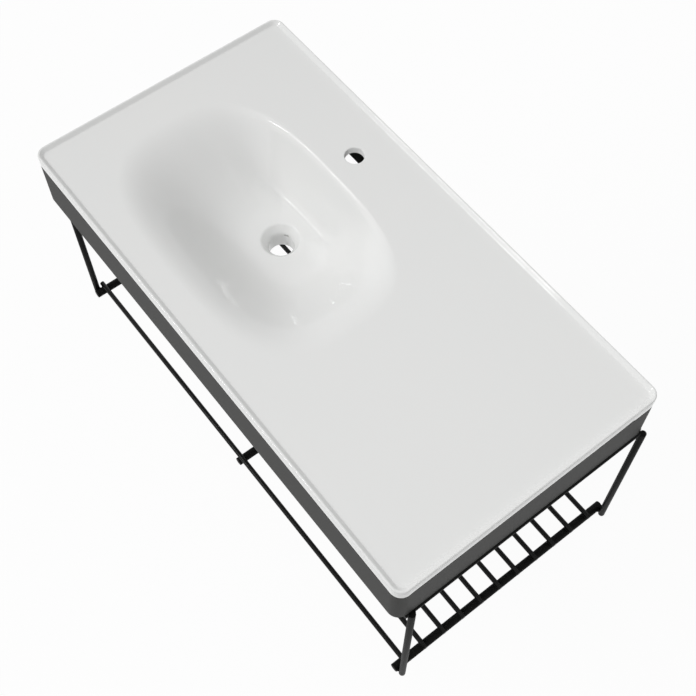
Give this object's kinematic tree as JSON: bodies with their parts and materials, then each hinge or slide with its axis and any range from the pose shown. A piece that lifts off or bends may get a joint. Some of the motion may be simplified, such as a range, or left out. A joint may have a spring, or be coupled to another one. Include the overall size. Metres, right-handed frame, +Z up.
{
  "type": "console sink",
  "caption": "Wall-hung console sink: a rectangular ceramic basin with an off-centre soft oval bowl, in a steel skirt on slim round posts with a rod towel shelf below.",
  "frame": {"origin": "on the wall face, on the basin's middle line, at the height of the two wall bolts", "axes": "+X to the right for a person facing the sink, +Y into the wall, +Z up"},
  "size_m": [1.018, 0.52, 0.4806],
  "materials": {
    "ceramic": "white gloss glaze",
    "sheet_coat": "matt anthracite powder coat",
    "bar_coat": "matt black powder coat",
    "pad_rubber": "matt"
  },
  "bodies": {
    "root": {"basin": "ceramic", "skirt": "sheet_coat", "back_rail": "sheet_coat", "shelf_bar_middle": "bar_coat", "shelf_bar_left": "bar_coat", "shelf_bar_right": "bar_coat", "top_bar_left": "bar_coat", "top_bar_right": "bar_coat", "post_front_left": "bar_coat", "post_front_right": "bar_coat", "post_back_left": "bar_coat", "post_back_right": "bar_coat", "bracket_front_left": "sheet_coat", "bracket_front_right": "sheet_coat", "bracket_back_left": "sheet_coat", "bracket_back_right": "sheet_coat", "pad_front_left": "pad_rubber", "pad_front_right": "pad_rubber", "pad_back_left": "pad_rubber", "pad_back_right": "pad_rubber", "shelf_rod_01": "bar_coat", "shelf_rod_02": "bar_coat", "shelf_rod_03": "bar_coat", "shelf_rod_04": "bar_coat", "shelf_rod_05": "bar_coat", "shelf_rod_06": "bar_coat", "shelf_rod_07": "bar_coat", "shelf_rod_08": "bar_coat", "shelf_rod_09": "bar_coat", "shelf_rod_10": "bar_coat", "shelf_rod_11": "bar_coat"}
  },
  "joints": []
}
